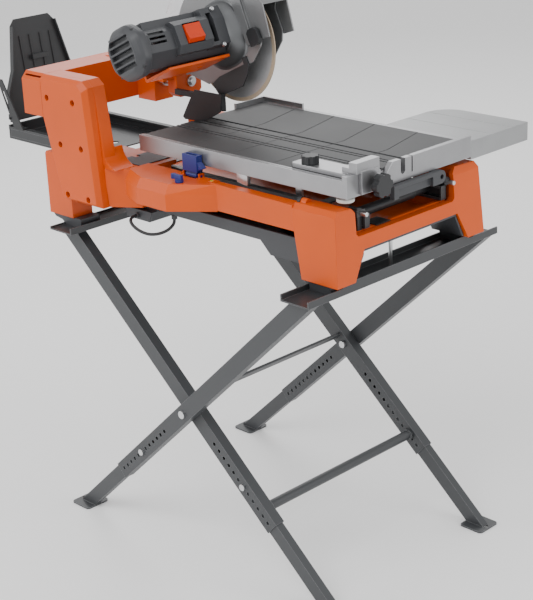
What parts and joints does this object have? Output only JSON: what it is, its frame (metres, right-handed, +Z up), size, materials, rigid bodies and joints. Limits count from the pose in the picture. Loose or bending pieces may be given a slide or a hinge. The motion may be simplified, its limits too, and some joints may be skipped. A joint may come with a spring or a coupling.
{
  "type": "tile cutter",
  "caption": "Wet tile saw with a sliding table, tilting and plunging saw head, spray flap and water pan, on a folding X-shaped stand.",
  "frame": {"origin": "on the floor, straight below the pivot that joins the stand's two leg frames, midway between the feet of each pair", "axes": "+X to the operator's end of the saw, where the table's stop rail is; +Y away from the side that carries the tower and motor; +Z up"},
  "size_m": [1.2655, 0.7014, 1.2581],
  "materials": {
    "orange_paint": "satin",
    "orange_plastic": "satin",
    "stand_paint": "satin",
    "grey_plastic": "matte",
    "black_plastic": "matte",
    "cast_grey": "satin",
    "table_alloy": "satin",
    "zinc_steel": "satin",
    "blade_steel": "satin",
    "black_rubber": "matte",
    "blue_plastic": "satin",
    "red_plastic": "satin",
    "white_plastic": "satin",
    "clear_plastic": "clear"
  },
  "bodies": {
    "outer_frame": {"outer_legs": "stand_paint", "front_channel": "stand_paint", "outer_bolts": "zinc_steel"},
    "inner_frame": {"inner_leg_near": "stand_paint", "inner_leg_far": "stand_paint", "rear_channel": "stand_paint", "stand_bars": "stand_paint", "inner_bolts": "zinc_steel"},
    "rear_near_foot": {"foot_rear_near": "stand_paint"},
    "rear_far_foot": {"foot_rear_far": "stand_paint"},
    "front_near_foot": {"foot_front_near": "stand_paint"},
    "front_far_foot": {"foot_front_far": "stand_paint"},
    "base": {"front_portal": "orange_plastic", "base_sides": "orange_plastic", "rear_legs": "orange_plastic", "base_feet": "grey_plastic", "retaining_bolt": "zinc_steel", "water_basin": "orange_plastic", "water_pan": "grey_plastic", "pump_hose": "black_rubber", "guide_rails": "stand_paint", "rail_webs": "stand_paint", "cross_members": "stand_paint", "rear_tray": "black_plastic", "tower_body": "orange_plastic", "platform_plate": "grey_plastic", "tower_cover": "orange_plastic", "cover_screws": "black_plastic", "arm": "orange_paint"},
    "flap": {"deflector_flap": "black_plastic"},
    "tap": {"tap_knob": "blue_plastic"},
    "lock": {"table_lock": "blue_plastic"},
    "bevel": {"bevel_shaft": "zinc_steel", "bevel_bracket": "orange_paint", "chute": "black_plastic"},
    "bevel_knob": {"bevel_lock_knob": "black_plastic"},
    "plunge_knob": {"plunge_lock_knob": "black_plastic"},
    "head": {"head_arm": "orange_paint", "gear_case": "cast_grey", "motor_housing": "grey_plastic", "motor_end_cap": "grey_plastic", "blade_guard": "cast_grey", "rear_shield": "clear_plastic", "guard_skirt": "black_rubber"},
    "switch": {"switch_paddle": "red_plastic"},
    "rotor": {"motor_rotor": "zinc_steel"},
    "visor": {"splash_shield": "black_plastic"},
    "latch": {"guard_latch": "black_plastic"},
    "spindle": {"blade": "blade_steel", "arbor": "zinc_steel"},
    "table": {"table_frame": "table_alloy", "table_mat": "black_rubber", "roller_axles": "zinc_steel", "table_handle": "grey_plastic"},
    "rear_wheels": {"rear_rollers": "white_plastic"},
    "front_wheels": {"front_rollers": "white_plastic"},
    "fence_body": {"fence": "table_alloy"},
    "stop_screw": {"fence_screw": "black_plastic"},
    "clamp_knob": {"star_knob": "black_plastic"},
    "extension": {"extension_table": "table_alloy"}
  },
  "joints": [
    {"name": "machine_lift", "type": "slide", "parent": "outer_frame", "child": "base", "axis": [0, 0, 1], "range_m": [0, 0.9]},
    {"name": "stand_fold", "type": "hinge", "parent": "outer_frame", "child": "inner_frame", "pos_m": [0, 0, 0.351], "axis": [0, 1, 0], "range_deg": [0, 84]},
    {"name": "rear_near_leg_length", "type": "slide", "parent": "outer_frame", "child": "rear_near_foot", "axis": [-0.7346, 0, -0.6785], "range_m": [-0.08, 0.114]},
    {"name": "rear_far_leg_length", "type": "slide", "parent": "outer_frame", "child": "rear_far_foot", "axis": [-0.7346, 0, -0.6785], "range_m": [-0.08, 0.114]},
    {"name": "front_near_leg_length", "type": "slide", "parent": "inner_frame", "child": "front_near_foot", "axis": [0.7516, 0, -0.6596], "range_m": [-0.08, 0.114]},
    {"name": "front_far_leg_length", "type": "slide", "parent": "inner_frame", "child": "front_far_foot", "axis": [0.7516, 0, -0.6596], "range_m": [-0.08, 0.114]},
    {"name": "flap_tilt", "type": "hinge", "parent": "base", "child": "flap", "pos_m": [-0.76, 0, 0.868], "axis": [0, 1, 0], "range_deg": [-8, 55]},
    {"name": "tap_turn", "type": "hinge", "parent": "base", "child": "tap", "pos_m": [0.002, -0.254, 0.87], "axis": [0, 0, 1], "range_deg": [0, 90]},
    {"name": "table_lock_tip", "type": "hinge", "parent": "base", "child": "lock", "pos_m": [-0.014, -0.2005, 0.872], "axis": [1, 0, 0], "range_deg": [0, 30]},
    {"name": "bevel_tilt", "type": "hinge", "parent": "base", "child": "bevel", "pos_m": [-0.3, 0.003, 1.005], "axis": [-1, 0, 0], "range_deg": [0, 45]},
    {"name": "bevel_lock_turn", "type": "hinge", "parent": "bevel", "child": "bevel_knob", "pos_m": [-0.48, 0.003, 1.005], "axis": [-1, 0, 0], "range_deg": [0, 300]},
    {"name": "head_plunge", "type": "hinge", "parent": "bevel", "child": "head", "pos_m": [-0.255, 0, 1.062], "axis": [0, 1, 0], "range_deg": [0, 17.5]},
    {"name": "plunge_lock_turn", "type": "hinge", "parent": "bevel", "child": "plunge_knob", "pos_m": [-0.25, -0.082, 1.139], "axis": [0, 0, 1], "range_deg": [0, 300]},
    {"name": "visor_lift", "type": "hinge", "parent": "head", "child": "visor", "pos_m": [-0.00151, 0.003, 1.21922], "axis": [0, -1, 0], "range_deg": [0, 40]},
    {"name": "latch_turn", "type": "hinge", "parent": "head", "child": "latch", "pos_m": [0.01683, -0.034, 1.1373], "axis": [0, 1, 0], "range_deg": [0, 60]},
    {"name": "spindle_spin", "type": "hinge", "parent": "head", "child": "spindle", "pos_m": [-0.086, 0.003, 1.107], "axis": [0, 1, 0], "continuous": true},
    {"name": "rotor_spin", "type": "hinge", "parent": "head", "child": "rotor", "pos_m": [-0.0819, -0.17, 1.13606], "axis": [0, 1, 0], "continuous": true},
    {"name": "table_slide", "type": "slide", "parent": "base", "child": "table", "axis": [1, 0, 0], "range_m": [-0.47, 0.12]},
    {"name": "rear_wheels_roll", "type": "hinge", "parent": "table", "child": "rear_wheels", "pos_m": [-0.11, 0, 0.83045], "axis": [0, 1, 0], "continuous": true},
    {"name": "front_wheels_roll", "type": "hinge", "parent": "table", "child": "front_wheels", "pos_m": [0.2, 0, 0.83045], "axis": [0, 1, 0], "continuous": true},
    {"name": "extension_slide", "type": "slide", "parent": "table", "child": "extension", "axis": [0, 1, 0], "range_m": [0, 0.07]},
    {"name": "fence_slide", "type": "slide", "parent": "table", "child": "fence_body", "axis": [0, 1, 0], "range_m": [0, 0.04]},
    {"name": "stop_screw_turn", "type": "hinge", "parent": "fence_body", "child": "stop_screw", "pos_m": [0.29, -0.16, 0.938], "axis": [0, 0, 1], "range_deg": [0, 300]},
    {"name": "clamp_knob_turn", "type": "hinge", "parent": "fence_body", "child": "clamp_knob", "pos_m": [0.43, -0.118, 0.91], "axis": [1, 0, 0], "range_deg": [0, 300]},
    {"name": "switch_press", "type": "hinge", "parent": "head", "child": "switch", "pos_m": [-0.04147, -0.1605, 1.17477], "axis": [0, 1, 0], "range_deg": [0, 8], "stiffness_Nm_per_rad": 0.6}
  ],
  "couplings": [
    {"joint": "stand_fold", "follows": "machine_lift", "rad_per_m": 1.6287},
    {"joint": "rotor_spin", "follows": "spindle_spin", "ratio": -2.2222},
    {"joint": "rear_wheels_roll", "follows": "table_slide", "rad_per_m": 106.38},
    {"joint": "front_wheels_roll", "follows": "table_slide", "rad_per_m": 106.38}
  ]
}
